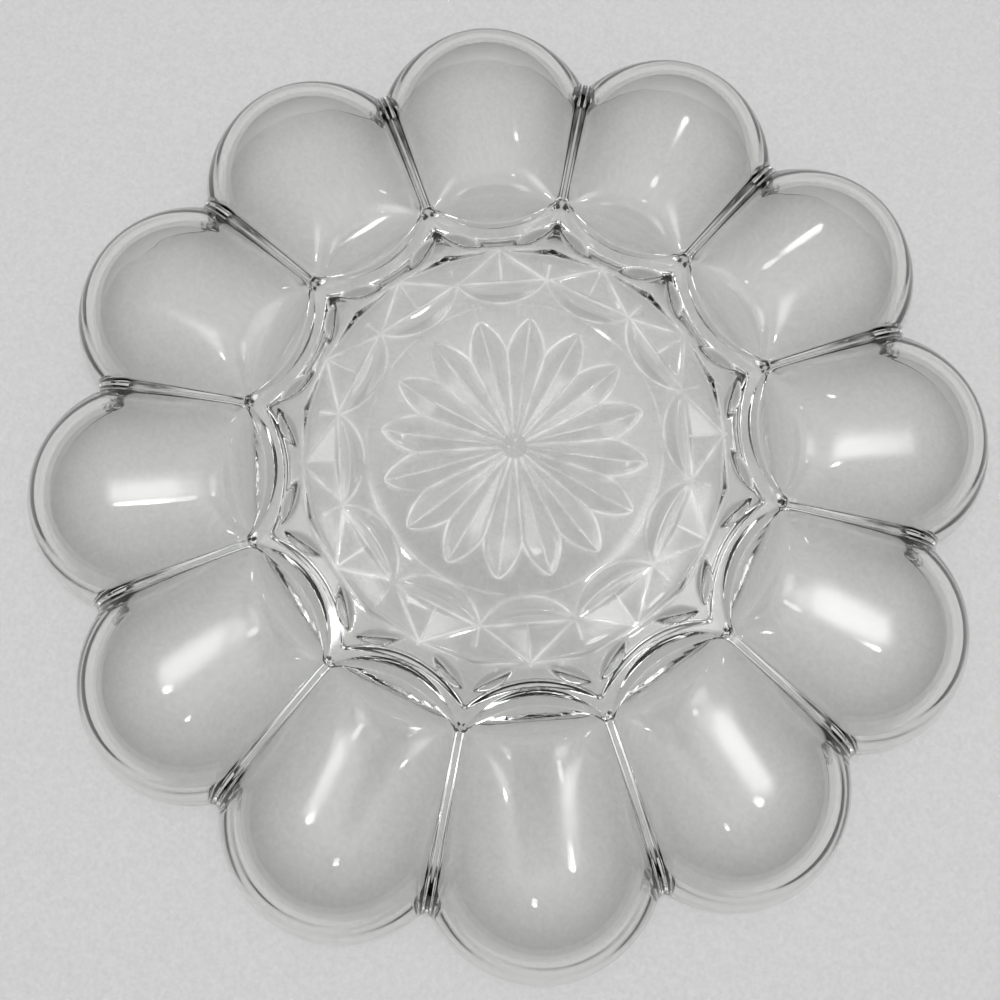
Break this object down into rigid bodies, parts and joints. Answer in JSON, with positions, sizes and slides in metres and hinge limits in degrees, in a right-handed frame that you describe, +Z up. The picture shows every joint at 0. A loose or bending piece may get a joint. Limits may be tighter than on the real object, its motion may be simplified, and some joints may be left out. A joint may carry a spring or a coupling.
{
  "type": "deviled egg platter",
  "caption": "Round clear glass platter with a ring of petal-shaped egg cups round a shallow dish and a pressed star under its base.",
  "frame": {"origin": "centre of the flat foot on the table, under the middle of the platter", "axes": "+Z straight up, with the egg cups open upwards; +X out through the middle of the first egg cup; +Y out through the middle of the fourth"},
  "size_m": [0.26, 0.26, 0.035],
  "materials": {
    "clear_glass": "polished"
  },
  "bodies": {
    "root": {"egg_cup_01": "clear_glass", "egg_cup_02": "clear_glass", "egg_cup_03": "clear_glass", "egg_cup_04": "clear_glass", "egg_cup_05": "clear_glass", "egg_cup_06": "clear_glass", "egg_cup_07": "clear_glass", "egg_cup_08": "clear_glass", "egg_cup_09": "clear_glass", "egg_cup_10": "clear_glass", "egg_cup_11": "clear_glass", "egg_cup_12": "clear_glass", "centre_dish": "clear_glass", "star_base": "clear_glass"}
  },
  "joints": []
}
